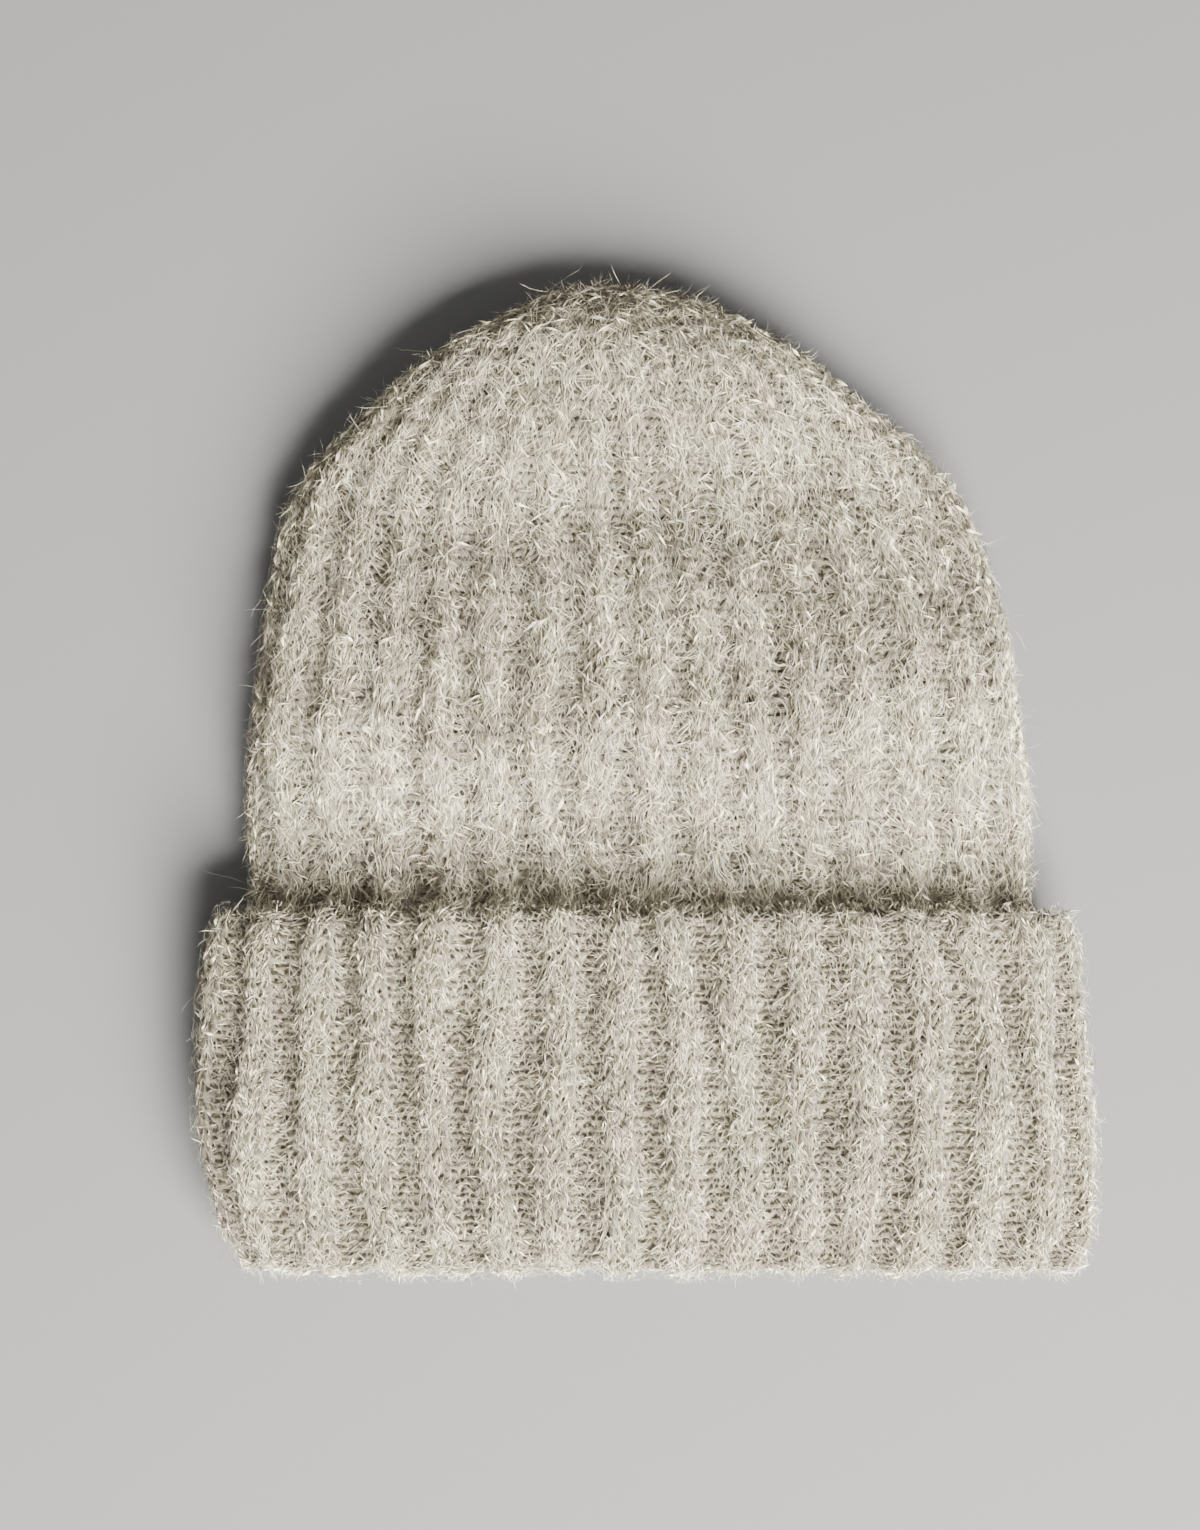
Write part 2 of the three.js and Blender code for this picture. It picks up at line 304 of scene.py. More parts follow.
def fabric_rings(path, shares, rib_shift, lift, relief):
    """Points on the path's rings at shares of the girth, from the middle of the upper side round by +X.

    They stand lift outside the mean face. relief has the share of the ribs' height that shows at each
    station.
    """
    turns = np.linspace(0, TURN, GIRTH_STEPS + 1)
    above = np.cos(turns) >= 0
    exponent = np.where(above, 2 / ROUNDNESS_ABOVE, 2 / ROUNDNESS_BELOW)
    across = np.sign(np.sin(turns)) * np.abs(np.sin(turns)) ** exponent
    upwards = np.sign(np.cos(turns)) * np.abs(np.cos(turns)) ** exponent
    profile = np.tanh(RIB_SQUARENESS * np.cos(TURN * RIBS * shares)) / math.tanh(RIB_SQUARENESS)
    rings = []
    for station, (y, left, right, bottom, top) in enumerate(path.rows):
        inset = path.inset[station]
        upright = path.upright[station]
        lowest = bottom + inset
        highest = top - inset
        widest_z = lowest - PRESSED + WIDEST_AT * (highest - lowest + PRESSED)
        reach = np.where(above, highest - widest_z, widest_z - lowest + PRESSED)
        line_x = (left + right) / 2 + ((right - left) / 2 - inset - SIDE_TUCK) * across
        line_z = widest_z + reach * upwards
        along = np.concatenate([[0], np.cumsum(np.hypot(np.diff(line_x), np.diff(line_z)))])
        girth = along[-1]
        steadied = np.clip((LOOSE_ABOVE - y) / (LOOSE_ABOVE - STEADY_BELOW), 0, 1)
        drift = ((left + right) / 2 - STEADY_X) * steadied
        places = girth * (shares + (rib_shift + sway(y, shares)) / RIBS) - drift
        half_rib = girth / (2 * RIBS)
        near = [(places + step) % girth for step in (0, -half_rib, half_rib)]
        x, before_x, after_x = (np.interp(place, along, line_x) for place in near)
        z, before_z, after_z = (np.interp(place, along, line_z) for place in near)
        length = np.hypot(after_x - before_x, after_z - before_z)
        out_x = (before_z - after_z) / length
        out_z = (after_x - before_x) / length
        pressed = np.clip((z - lowest) / PRESSED_RIBS, 0, 1)
        ribs = RIB_RELIEF * min(1, girth / FULL_RELIEF_GIRTH) * profile * relief[station]
        shift = lift + (ribs + swell(y, shares)) * pressed
        dents = dent_depth(x, y, 2 * (z - lowest) / (highest - lowest) - 1)
        z = np.maximum(z + shift * upright * out_z - dents, lowest + max(0, -lift) * upright)
        x = x + shift * upright * out_x
        rings.append(np.column_stack([x, y - shift * path.forward[station], z]))
    return (np.array(rings) + TABLE_TO_FRAME) * MM


def object_of(name, vertices, faces, maps):
    """An object with this mesh, smoothly shaded. Each map has two numbers for each corner of its faces."""
    mesh = bpy.data.meshes.new(name)
    mesh.from_pydata(vertices.reshape(-1, 3).tolist(), [], faces)
    for map_name, corners in maps.items():
        layer = mesh.uv_layers.new(name=map_name)
        layer.data.foreach_set("uv", np.asarray(corners, np.float32).ravel())
    mesh.shade_smooth()
    made = bpy.data.objects.new(name, mesh)
    bpy.context.scene.collection.objects.link(made)
    return made


def store_on_points(made, name, values):
    """Stores a number or a vector for each point of the object's mesh."""
    kind, key = ("FLOAT", "value") if values.ndim == 1 else ("FLOAT_VECTOR", "vector")
    attribute = made.data.attributes.new(name, kind, "POINT")
    attribute.data.foreach_set(key, values.astype(np.float32).ravel())


def closed_skin(name, rings, tips=None):
    """A closed skin through rings of points, which closes on itself, or with tips is capped at both ends.

    Its map "cloth" has the distance round the fabric and along it in metres, and meets itself underneath.
    """
    count, columns = rings.shape[:2]
    bands = count - 1 if tips else count
    steps = np.linalg.norm(np.roll(rings, -1, axis=1) - rings, axis=2)
    arcs = np.concatenate([np.zeros((count, 1)), np.cumsum(steps, axis=1)], axis=1)
    lengthwise = np.linalg.norm(np.roll(rings[:, 0], -1, axis=0) - rings[:, 0], axis=1)
    along = np.concatenate([[0], np.cumsum(lengthwise)])
    vertices = rings.reshape(-1, 3)
    faces = []
    sheet = []
    cloth = []
    for ring, column in np.ndindex(bands, columns):
        past_middle = 2 * column >= columns
        places = [(ring + up, column + beside) for up, beside in ((0, 0), (1, 0), (1, 1), (0, 1))]
        faces.append([row % count * columns + place % columns for row, place in places])
        sheet += [(place / columns, row / bands) for row, place in places]
        for row, place in places:
            arc = arcs[row % count]
            cloth.append((arc[place] - past_middle * arc[-1], along[row]))
    if tips:
        vertices = np.concatenate([vertices, (np.array(tips) + TABLE_TO_FRAME) * MM])
        caps = ((0, 0, 0.0, -TIP_REACH, (0, 1)), (1, count - 1, along[-2], TIP_REACH, (1, 0)))
        for column in range(columns):
            for end, ring, level, reach, order in caps:
                places = [column + beside for beside in order]
                on_ring = [ring * columns + place % columns for place in places]
                faces.append([count * columns + end, *on_ring])
                sheet += [(column / columns, end), *((place / columns, end) for place in places)]
                cloth.append((arcs[ring, column], level + reach))
                cloth += [(arcs[ring, place], level) for place in places]
    return object_of(name, vertices, faces, {"OFBake": sheet, "cloth": cloth})


def laying_grid(name, path, rib_shift, reversed_round, relief):
    """An open grid on the fabric's face, on which the loops are laid.

    Its map "knit" runs once round the fabric and once along it, in the direction in which it was knitted.
    """
    shares = np.linspace(0, 1, GRID_COLUMNS + 1)
    if reversed_round:
        shares = shares[::-1]
    points = fabric_rings(path, shares, rib_shift, -YARN_SINK, relief_at(path, relief))
    rows, columns = points.shape[:2]
    round_step = np.gradient(points, axis=1)
    round_step[:, [0, -1]] = (points[:, 1] - points[:, -2])[:, None] / 2
    along_step = np.gradient(points, axis=0)
    outward = np.cross(round_step, along_step)
    outward /= np.linalg.norm(outward, axis=2, keepdims=True)
    along = along_step / np.linalg.norm(along_step, axis=2, keepdims=True)
    faces = []
    corners = []
    for row, column in np.ndindex(rows - 1, columns - 1):
        places = [(row + up, column + beside) for up, beside in ((0, 0), (0, 1), (1, 1), (1, 0))]
        faces.append([up * columns + beside for up, beside in places])
        corners += [(beside / (columns - 1), up / (rows - 1)) for up, beside in places]
    grid = object_of(name, points, faces, {"knit": corners})
    store_on_points(grid, "outward", outward)
    store_on_points(grid, "along", along)
    return grid


# The paths along the fabric
cuff_table = smooth(CUFF_ROWS, CUFF_STEPS)
crown_table = smooth(CROWN_ROWS, CROWN_STEPS)
edge_turn = np.linspace(90, 0, EDGE_STEPS)
fold_turn = np.linspace(0, 180, FOLD_STEPS)
cuff_edge = turned_path(cuff_table, CUFF_ROWS[-1, 0], WALL / 2, EDGE_REACH, edge_turn, 1)
cuff_outside = plain_path(cuff_table[::-1])
cuff_fold = turned_path(cuff_table, FOLD, FOLD, FOLD, fold_turn, -1)
cuff_hem = plain_path(rows_at(cuff_table, np.linspace(FOLD, HEM, HEM_STEPS)), INNER, -1.0)
cuff_below_edge = spaced(join_paths(cuff_outside, cuff_fold, cuff_hem), RING_SPACING)
cuff_path = join_paths(cuff_edge, cuff_outside, cuff_fold, cuff_hem)

covered_rows = rows_at(cuff_table, np.linspace(RIM, UNDER_EDGE, COVERED_STEPS))
covered_rows += np.array([0, CRUSHED, -CRUSHED, CRUSHED, -CRUSHED])
crown_path = plain_path(np.concatenate([covered_rows, crown_table, TIP_ROW]))
crown_seen = plain_path(np.concatenate([covered_rows[-1:], crown_table, TIP_ROW]))
fabric_shares = np.arange(FABRIC_COLUMNS) / FABRIC_COLUMNS


def crown_fabric():
    """The crown's fabric: its outer face from the tip down to the rim, then its inner face back up."""
    path = spaced(crown_path, RING_SPACING)
    shown = relief_at(path, UNCOVERED) * relief_at(path, CROWN_RELIEF)
    outside = fabric_rings(path, fabric_shares, CROWN_RIB_SHIFT, -FABRIC_SINK, shown)
    lined = plain_path(path.rows[path.rows[:, 0] < LINING_END])
    inside = fabric_rings(lined, fabric_shares, CROWN_RIB_SHIFT, -WALL, np.ones(len(lined.rows)))
    return closed_skin("crown_fabric", np.concatenate([outside[::-1], inside]), TIPS)


def cuff_fabric():
    """The cuff's fabric: from its free edge down to the fold and the turned-in end, and back up inside."""
    edge, outside = (
        fabric_rings(path, fabric_shares, CUFF_RIB_SHIFT, -FABRIC_SINK, relief_at(path, CUFF_RELIEF))
        for path in (cuff_edge, cuff_below_edge)
    )
    plain = np.zeros(len(cuff_below_edge.rows))
    inside = fabric_rings(cuff_below_edge, fabric_shares, CUFF_RIB_SHIFT, -WALL, plain)
    return closed_skin("cuff_fabric", np.concatenate([edge[:-1], outside, inside[::-1]]))


def veil_faces(path, rib_shift, relief):
    """The rings of a veil's outer and inner face: a thin sleeve, seen only where a hair crosses it."""
    shown = relief_at(path, relief)
    return (fabric_rings(path, fabric_shares, rib_shift, lift, shown) for lift in VEIL_LIFTS)


def crown_veil():
    """The crown's veil of hair, over all that shows of it."""
    outside, inside = veil_faces(spaced(crown_seen, RING_SPACING), CROWN_RIB_SHIFT, CROWN_RELIEF)
    tips = [np.array(TIPS[0]) + np.array([0, lift, 0]) for lift in VEIL_LIFTS]
    return closed_skin("crown_veil", np.concatenate([outside[::-1], inside]), tips)


def cuff_veil():
    """The cuff's veil of hair, from its free edge round the fold to its turned-in end."""
    outside, inside = veil_faces(join_paths(cuff_edge, cuff_below_edge), CUFF_RIB_SHIFT, CUFF_RELIEF)
    return closed_skin("cuff_veil", np.concatenate([outside, inside[::-1]]))


def add_sockets(tree, way, titles):
    """Named inputs or outputs of a tree, listed by their kind."""
    for kind, names in titles.items():
        for name in names:
            tree.interface.new_socket(name, in_out=way, socket_type=f"NodeSocket{kind}")


class NodeMaker:
    """Short calls for making the nodes of one tree."""

    def __init__(self, tree):
        self.tree = tree

    def link(self, source, target):
        self.tree.links.new(source, target)

    def node(self, kind, inputs, **settings):
        """A node with its settings, and with each input, by name or number, linked or set."""
        made = self.tree.nodes.new(kind)
        for setting, value in settings.items():
            setattr(made, setting, value)
        for key, value in inputs.items():
            if isinstance(value, bpy.types.NodeSocket):
                self.link(value, made.inputs[key])
            else:
                made.inputs[key].default_value = value
        return made

    def math(self, operation, *values, clamped=False):
        made = self.node("ShaderNodeMath", dict(enumerate(values)), operation=operation, use_clamp=clamped)
        return made.outputs[0]

    def product(self, first, *others):
        for other in others:
            first = self.math("MULTIPLY", first, other)
        return first

    def vector_math(self, operation, *values):
        return self.node("ShaderNodeVectorMath", dict(enumerate(values)), operation=operation).outputs[0]

    def scaled(self, vector, factor):
        return self.node("ShaderNodeVectorMath", {0: vector, "Scale": factor}, operation="SCALE").outputs[0]

    def vector(self, x, y, z=0.0):
        return self.node("ShaderNodeCombineXYZ", {0: x, 1: y, 2: z}).outputs[0]

    def parts(self, vector):
        return self.node("ShaderNodeSeparateXYZ", {0: vector}).outputs

    def ranged(self, value, low, high, at_low, at_high, **settings):
        """A number that goes from at_low to at_high while the value goes from low to high."""
        inputs = {0: value, 1: low, 2: high, 3: at_low, 4: at_high}
        return self.node("ShaderNodeMapRange", inputs, **settings).outputs[0]

    def ripple(self, operation, turns):
        """A soft wave from 0 to 1, which repeats once a turn."""
        return self.math("MULTIPLY_ADD", self.math(operation, self.product(turns, TURN)), 0.5, 0.5)


class TreeMaker(NodeMaker):
    """A tree that makes a mesh from the one it is given, with named inputs for its sizes."""

    def __init__(self, name, inputs):
        super().__init__(bpy.data.node_groups.new(name, "GeometryNodeTree"))
        add_sockets(self.tree, "INPUT", {"Geometry": ["Geometry"], **inputs, "Material": ["Material"]})
        add_sockets(self.tree, "OUTPUT", {"Geometry": ["Geometry"]})
        self.given = self.tree.nodes.new("NodeGroupInput").outputs

    def random(self, least, most, seed):
        """A random number for each element, seeded by the tree's own seed and a number of its own."""
        own = self.math("ADD", self.given["Seed"], seed)
        made = self.node("FunctionNodeRandomValue", {2: least, 3: most, "Seed": own}, data_type="FLOAT")
        return made.outputs[1]

    def attribute(self, name, data_type="FLOAT"):
        made = self.node("GeometryNodeInputNamedAttribute", {"Name": name}, data_type=data_type)
        return made.outputs["Attribute"]

    def direction(self, name):
        return self.attribute(name, "FLOAT_VECTOR")

    def store(self, geometry, name, value, domain="POINT", data_type="FLOAT"):
        inputs = {"Geometry": geometry, "Name": name, "Value": value}
        made = self.node("GeometryNodeStoreNamedAttribute", inputs, domain=domain, data_type=data_type)
        return made.outputs[0]

    def move(self, geometry, key, value):
        """The geometry with its points at a new Position, or moved by an Offset."""
        return self.node("GeometryNodeSetPosition", {"Geometry": geometry, key: value}).outputs[0]

    def noise(self, place, fineness):
        """A soft random vector for each place, each part of it from -0.5 to 0.5."""
        inputs = {"Vector": place, "W": self.given["Seed"], "Scale": fineness, "Detail": 1.0}
        made = self.node("ShaderNodeTexNoise", inputs, noise_dimensions="4D")
        return self.vector_math("SUBTRACT", made.outputs["Color"], (0.5, 0.5, 0.5))

    def position(self):
        return self.node("GeometryNodeInputPosition", {}).outputs[0]

    def finish(self, geometry):
        """Ends the tree by giving the geometry its material."""
        inputs = {"Geometry": geometry, "Material": self.given["Material"]}
        self.node("NodeGroupOutput", {0: self.node("GeometryNodeSetMaterial", inputs).outputs[0]})
        return self.tree


def yarn_strands(maker):
    """The strands of one rib and row, marked with their direction and the place along and round each."""
    given = maker.given
    strands = maker.node("GeometryNodeJoinGeometry", {})
    for steps, table in (("Leg steps", KNIT_LEGS), ("Arc steps", PURL_TOPS + PURL_FEET)):
        for start, middle, end in table:
            inputs = {"Resolution": given[steps], "Start": start, "Middle": middle, "End": end}
            curve = maker.node("GeometryNodeCurveQuadraticBezier", inputs)
            maker.link(curve.outputs[0], strands.inputs[0])
    size = maker.vector(given["Rib width"], given["Row height"], given["Yarn radius"])
    sized = maker.move(strands.outputs[0], "Position", maker.vector_math("MULTIPLY", maker.position(), size))
    spline = maker.node("GeometryNodeSplineParameter", {}).outputs
    marked = maker.store(sized, "strand_along", spline["Length"])
    tangent = maker.node("GeometryNodeInputTangent", {}).outputs[0]
    marked = maker.store(marked, "grain", tangent, "POINT", "FLOAT_VECTOR")
    profile = maker.node("GeometryNodeCurvePrimitiveCircle", {
        "Resolution": given["Yarn sides"],
        "Radius": given["Yarn radius"],
    }).outputs[0]
    belly = maker.math("SINE", maker.product(spline["Factor"], math.pi))
    return maker.node("GeometryNodeCurveToMesh", {
        "Curve": marked,
        "Profile Curve": maker.store(profile, "strand_round", spline["Factor"]),
        "Scale": maker.math("MULTIPLY_ADD", belly, STRAND_BELLY, STRAND_END),
        "Fill Caps": True,
    }).outputs[0]


def loops_tree():
    """Knitted loops: the strands of one rib and row, repeated round and along, then laid on the fabric."""
    maker = TreeMaker("knitted_loops", {
        "Int": ["First rib", "Ribs", "Ribs round", "Rows", "Yarn sides", "Leg steps", "Arc steps", "Seed"],
        "Float": ["Rib width", "Row height", "Yarn radius", "Unevenness"],
    })
    given = maker.given
    strands = yarn_strands(maker)
    width, height = (
        maker.product(maker.math("SUBTRACT", given[count], 1), given[size])
        for count, size in (("Ribs", "Rib width"), ("Rows", "Row height"))
    )
    lattice = maker.node("GeometryNodeMeshGrid", {
        "Size X": width,
        "Size Y": height,
        "Vertices X": given["Ribs"],
        "Vertices Y": given["Rows"],
    }).outputs[0]
    first = maker.product(given["First rib"], given["Rib width"])
    start = maker.vector(maker.math("MULTIPLY_ADD", width, 0.5, first), maker.product(height, 0.5))
    placed = maker.move(lattice, "Offset", start)
    repeated = maker.node("GeometryNodeInstanceOnPoints", {"Points": placed, "Instance": strands})
    flat = maker.node("GeometryNodeRealizeInstances", {0: repeated.outputs[0]}).outputs[0]

    around, upwards, out = maker.parts(maker.position())
    round_length = maker.product(given["Rib width"], given["Ribs round"])
    along_length = maker.product(given["Row height"], given["Rows"])
    map_u = maker.math("DIVIDE", maker.math("SUBTRACT", around, first), round_length)
    map_v = maker.math("DIVIDE", upwards, along_length)
    mapped = maker.store(flat, "OFBake", maker.vector(map_u, map_v), "CORNER", "FLOAT2")
    shaken = maker.scaled(maker.noise(maker.position(), YARN_FINENESS), given["Unevenness"])
    mapped = maker.move(mapped, "Offset", shaken)

    share_round = maker.math("FRACT", maker.math("DIVIDE", around, round_length))
    read_at = maker.vector(*(
        maker.node("ShaderNodeClamp", {0: share, 1: MAP_EDGE, 2: 1 - MAP_EDGE}).outputs[0]
        for share in (share_round, map_v)
    ))
    place, outward, along = (
        maker.node("GeometryNodeSampleUVSurface", {
            "Mesh": given["Geometry"],
            "Value": value,
            "UV Map": maker.direction("knit"),
            "Sample UV": read_at,
        }, data_type="FLOAT_VECTOR").outputs["Value"]
        for value in (maker.position(), maker.direction("outward"), maker.direction("along"))
    )
    round_way = maker.vector_math("CROSS_PRODUCT", along, outward)
    grain = maker.parts(maker.direction("grain"))
    ways = [maker.scaled(way, share) for way, share in zip((round_way, along, outward), grain)]
    grain = maker.vector_math("ADD", maker.vector_math("ADD", ways[0], ways[1]), ways[2])
    # the yarn's depth in its radii, from which its material paints shade into the gaps
    marked = maker.store(mapped, "depth", maker.math("DIVIDE", out, given["Yarn radius"]))
    raised = maker.vector_math("ADD", place, maker.scaled(outward, out))
    marked = maker.store(marked, "grain", grain, "POINT", "FLOAT_VECTOR")
    marked = maker.store(marked, "outward", outward, "POINT", "FLOAT_VECTOR")
    # from 0 in a furrow to 1 on a ridge: the hair's tone uses it to paint light on ridges and shade in
    # furrows
    ridge = maker.ripple("COSINE", maker.math("DIVIDE", around, given["Rib width"]))
    marked = maker.store(marked, "ridge", ridge)
    loops = maker.move(marked, "Position", raised)
    return maker.finish(maker.node("GeometryNodeSetShadeSmooth", {0: loops}).outputs[0])


def hair_roots(maker, outward, upward):
    """Points on the yarn, as dense as the hair is there."""
    given = maker.given
    face_way = maker.node("GeometryNodeInputNormal", {}).outputs[0]
    outer = maker.node("ShaderNodeVectorMath", {0: face_way, 1: outward}, operation="DOT_PRODUCT")
    outer = maker.math("GREATER_THAN", outer.outputs["Value"], OUTER_FACES)
    on_floor = maker.ranged(upward, *FLOOR_TO_SIDES, given["Share on the floor side"], 1.0)
    on_top = maker.ranged(upward, *SIDES_TO_TOP, given["Share at the sides"], given["Share on top"])
    tufts = maker.ranged(maker.parts(maker.noise(maker.position(), TUFT_FINENESS))[1], *TUFT_RANGE)
    share_here = maker.product(maker.product(tufts, on_top), maker.product(outer, on_floor))
    roots = maker.node("GeometryNodeDistributePointsOnFaces", {
        "Mesh": given["Geometry"],
        "Density": maker.product(given["Hairs per square metre"], share_here),
        "Seed": given["Seed"],
    }, distribute_method="RANDOM").outputs[0]
    return maker.move(roots, "Offset", maker.scaled(outward, given["Root height"]))


def hair_turn(maker, outward):
    """How each hair is turned: along the yarn or against it, swung aside, lifted and rolled."""
    given = maker.given
    on_fabric = maker.node("FunctionNodeAxesToRotation", {
        0: outward,
        1: maker.direction("grain"),
    }, primary_axis="Z", secondary_axis="Y").outputs[0]
    bell = maker.math("ADD", maker.random(-1.0, 1.0, 11), maker.random(-1.0, 1.0, 12))
    swirl = maker.parts(maker.noise(maker.position(), SWIRL_FINENESS))[0]
    swung = maker.math("MULTIPLY_ADD", swirl, given["Swirl"], maker.product(bell, given["Scatter"]))
    flipped = maker.product(maker.math("ROUND", maker.random(0.0, 1.0, 13)), math.pi)
    yaw = maker.math("ADD", swung, flipped)
    lift = maker.random(given["Least lift"], given["Most lift"], 15)
    own_turn = maker.vector(lift, maker.random(-ROLL, ROLL, 16), yaw)
    return maker.node("FunctionNodeRotateRotation", {
        0: on_fabric,
        1: maker.node("FunctionNodeEulerToRotation", {0: own_turn}).outputs[0],
    }, rotation_space="LOCAL").outputs[0]


def hair_tree():
    """Brushed hair: copies of one hair, scattered on the fabric and turned with it."""
    maker = TreeMaker("brushed_hair", {
        "Float": [
            "Hairs per square metre", "Share on the floor side", "Share at the sides", "Share on top",
            "Painted ridge light and furrow shade", "Shortest", "Longest", "Width", "Width at the sides", "Arch", "Least lift",
            "Most lift", "Scatter", "Swirl", "Root height", "Curl", "Lowest level",
        ],
        "Int": ["Cells a side", "Seed"],
        "Object": ["Hair"],
    })
    given = maker.given
    outward = maker.direction("outward")
    upward = maker.parts(outward)[2]
    roots = hair_roots(maker, outward, upward)
    turned = hair_turn(maker, outward)
    longer = maker.math("POWER", maker.random(0.0, 1.0, 17), FEW_LONG)
    spread = maker.math("SUBTRACT", given["Longest"], given["Shortest"])
    length = maker.math("MULTIPLY_ADD", spread, longer, given["Shortest"])
    width = maker.ranged(upward, *FINE_TO_FULL_WIDTH, given["Width at the sides"], given["Width"])
    width = maker.product(width, maker.random(*WIDTH_RANGE, 18))
    arch = maker.product(length, given["Arch"], maker.random(*ARCH_RANGE, 19))
    hairs = maker.node("GeometryNodeInstanceOnPoints", {
        "Points": roots,
        "Instance": maker.node("GeometryNodeObjectInfo", {"Object": given["Hair"]}).outputs["Geometry"],
        "Rotation": turned,
        "Scale": maker.vector(width, length, maker.math("MAXIMUM", width, arch)),
    }).outputs[0]
    own_tone = maker.ranged(maker.random(0.0, 1.0, 20), *TONE_RANGE, interpolation_type="SMOOTHSTEP")
    # painted light on the ridges and painted shade in the furrows
    from_flank = maker.math("SUBTRACT", maker.attribute("ridge"), 0.5)
    paler = maker.product(from_flank, given["Painted ridge light and furrow shade"])
    hairs = maker.store(hairs, "shade", maker.math("ADD", own_tone, paler), "INSTANCE")
    index = maker.node("GeometryNodeInputIndex", {}).outputs[0]
    column = maker.math("MODULO", index, given["Cells a side"])
    row = maker.math("FLOOR", maker.math("DIVIDE", index, given["Cells a side"]))
    hairs = maker.store(hairs, "cell", maker.vector(column, row), "INSTANCE", "FLOAT_VECTOR")
    hairs = maker.node("GeometryNodeRealizeInstances", {0: hairs}).outputs[0]

    in_cell = maker.vector_math("ADD", maker.direction("cell"), maker.direction("leaf"))
    on_map = maker.scaled(in_cell, maker.math("DIVIDE", 1.0, given["Cells a side"]))
    hairs = maker.store(hairs, "OFBake", on_map, "CORNER", "FLOAT2")
    reach = maker.attribute("reach")
    bent = maker.product(reach, reach, given["Curl"])
    hairs = maker.move(hairs, "Offset", maker.scaled(maker.noise(maker.position(), CURL_FINENESS), bent))
    x, y, z = maker.parts(maker.position())
    above_floor = maker.vector(x, y, maker.math("MAXIMUM", z, given["Lowest level"]))
    return maker.finish(maker.move(hairs, "Position", above_floor))


def laid_on(ground, tree, name, values):
    """A plain mesh piece that the tree makes on the ground, with the tree's named inputs set to values."""
    modifier = ground.modifiers.new(name, "NODES")
    modifier.node_group = tree
    for item in tree.interface.items_tree:
        if item.in_out == "INPUT" and item.name in values:
            modifier[item.identifier] = values[item.name]
    view = bpy.context.evaluated_depsgraph_get()
    view.update()
    evaluated = ground.evaluated_get(view)
    mesh = bpy.data.meshes.new_from_object(evaluated, preserve_all_data_layers=True, depsgraph=view)
    ground.modifiers.remove(modifier)
    mesh.name = name
    mesh.materials.clear()
    mesh.materials.append(values["Material"])
    mesh.polygons.foreach_set("material_index", [0] * len(mesh.polygons))
    made = bpy.data.objects.new(name, mesh)
    bpy.context.scene.collection.objects.link(made)
    return made


def hair_pattern(name, points, faces):
    """A hair to copy. leaf has each point's place in its cell of the map, and reach how far along it is."""
    pattern = object_of(name, points, faces, {})
    store_on_points(pattern, "leaf", LEAF_START + LEAF_SIZE * points)
    store_on_points(pattern, "reach", points[:, 1])
    return pattern


def sliver():
    """One short hair of length 1 along +Y, arched and pointed at both ends: a closed solid of four faces."""
    points = np.array([(0, 0, 0), (0.5, 0.45, 1), (-0.5, 0.45, 1), (0, 1, 0.2)], float)
    faces = [(0, 1, 2), (3, 2, 1), (0, 3, 1), (0, 2, 3)]
    return hair_pattern("short_hair", points, faces)


def long_hair(name, steps):
    """One long hair of length 1 along +Y, three-sided and drawn out to a point at both ends."""
    points = [(0, 0, 0)]
    faces = [(0, 1 + (side + 1) % 3, 1 + side) for side in range(3)]
    for step in range(1, steps):
        for side in range(3):
            angle = TURN * side / 3
            points.append((0.5 * math.sin(angle), step / steps, 0.5 * math.cos(angle)))
    end = len(points)
    points.append((0, 1, 0))
    for first in range(1, end - 3, 3):
        for side in range(3):
            beside = (side + 1) % 3
            faces.append((first + side, first + beside, first + 3 + beside, first + 3 + side))
    faces += [(end - 3 + side, end - 3 + (side + 1) % 3, end) for side in range(3)]
    return hair_pattern(name, np.array(points, float), faces)


# The finishes of the wool
class ShaderMaker(NodeMaker):
    """Short calls for making the nodes of one material or shader group."""

    def attribute(self, name):
        return self.node("ShaderNodeAttribute", {}, attribute_name=name).outputs

    def place(self):
        return self.node("ShaderNodeTexCoord", {}).outputs["Object"]

    def noise(self, place, fineness, detail=1.0):
        return self.node("ShaderNodeTexNoise", {"Vector": place, "Scale": fineness, "Detail": detail}).outputs

    def spots(self, place, fineness, detail=1.0):
        """A soft random number for each place, from about -0.5 to 0.5."""
        return self.math("SUBTRACT", self.noise(place, fineness, detail)["Fac"], 0.5)

    def mixed(self, share, first, second, **settings):
        inputs = {0: share, 6: first, 7: second}
        return self.node("ShaderNodeMix", inputs, data_type="RGBA", **settings).outputs[2]

    def relief(self, height, strength, distance):
        """The direction of the surface where it has this relief."""
        inputs = {"Strength": strength, "Distance": distance, "Height": height}
        return self.node("ShaderNodeBump", inputs).outputs["Normal"]


class GroupMaker(ShaderMaker):
    """A shader group with named inputs and outputs."""

    def __init__(self, name, inputs, outputs):
        super().__init__(bpy.data.node_groups.new(name, "ShaderNodeTree"))
        add_sockets(self.tree, "INPUT", inputs)
        add_sockets(self.tree, "OUTPUT", outputs)
        self.given = self.tree.nodes.new("NodeGroupInput").outputs

    def finish(self, **results):
        self.node("NodeGroupOutput", results)
        return self.tree


